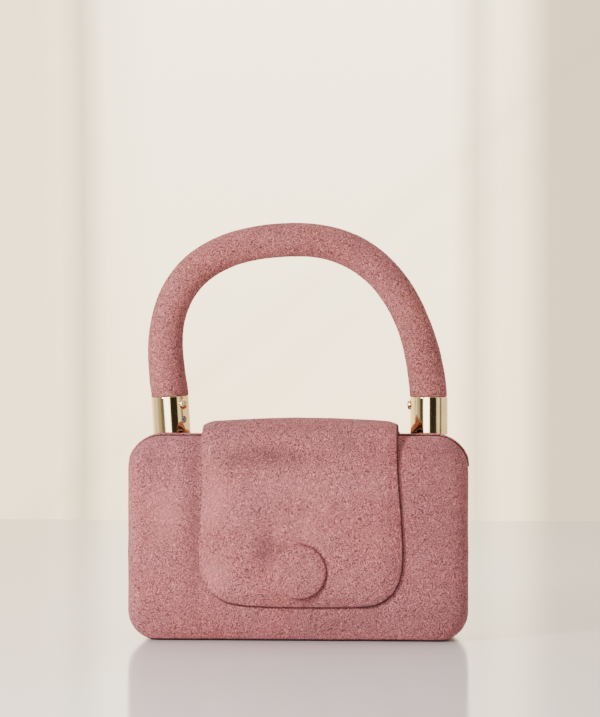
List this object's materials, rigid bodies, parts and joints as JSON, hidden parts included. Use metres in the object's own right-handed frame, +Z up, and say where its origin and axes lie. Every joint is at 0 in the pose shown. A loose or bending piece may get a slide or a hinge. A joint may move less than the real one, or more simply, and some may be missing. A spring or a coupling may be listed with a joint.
{
  "type": "clutch purse",
  "caption": "Small rigid box purse in suede with a snap flap over a bottom-hinged front, and an arched top handle in brass ferrules.",
  "frame": {"origin": "on the flat underside, in the middle of the case's width and in the plane of the handle", "axes": "+X to the right as the front is seen, -Y towards the front, +Z up"},
  "size_m": [0.1812, 0.0748, 0.2218],
  "materials": {
    "suede": "dusty rose suede with a short nap",
    "handle_suede": "dusty rose suede pulled round a tube",
    "lining": "fine matte faille lining",
    "board": "moulded fibreboard",
    "foam": "closed-cell foam padding",
    "brass": "polished brass plate",
    "steel": "zinc-plated steel"
  },
  "bodies": {
    "rear": {"rear_cover": "suede", "mouth_binding": "suede", "flap_tail": "suede", "handle_sleeve": "handle_suede", "rear_lining": "lining", "gusset_left": "lining", "gusset_right": "lining", "rear_shell": "board", "handle_core": "board", "ferrule_left": "brass", "ferrule_right": "brass", "ferrule_screw_left": "brass", "ferrule_screw_right": "brass", "grub_screw_left": "steel", "grub_screw_right": "steel", "hinge_leaf_rear": "steel", "hinge_pin": "steel", "base_post_left": "steel", "base_post_right": "steel", "post_screw_left": "steel", "post_screw_right": "steel", "backing_plate_left": "steel", "backing_plate_right": "steel", "hinge_rivet_rear_1": "steel", "hinge_rivet_rear_2": "steel", "hinge_rivet_rear_3": "steel"},
    "front": {"front_cover": "suede", "front_shell": "board", "front_lining": "lining", "hinge_leaf_front": "steel", "hinge_rivet_front_1": "steel", "hinge_rivet_front_2": "steel", "hinge_rivet_front_3": "steel", "snap_female": "brass", "snap_female_washer": "steel"},
    "flap": {"flap_panel_face": "suede", "flap_panel_foam": "foam", "flap_panel_back": "lining", "button_core": "steel", "button_cover": "suede", "snap_male": "brass", "snap_male_washer": "steel"}
  },
  "joints": [
    {"name": "flap_lift", "type": "hinge", "parent": "rear", "child": "flap", "pos_m": [0, -0.015, 0.1135], "axis": [-1, 0, 0], "range_deg": [0, 130]},
    {"name": "front_open", "type": "hinge", "parent": "rear", "child": "front", "pos_m": [0, -0.017, 0.0019], "axis": [1, 0, 0], "range_deg": [0, 15], "deforming": ["gusset_left", "gusset_right"]}
  ],
  "couplings": [
    {"joint": "front_open", "follows": "flap_lift", "ratio": 0.1153}
  ]
}
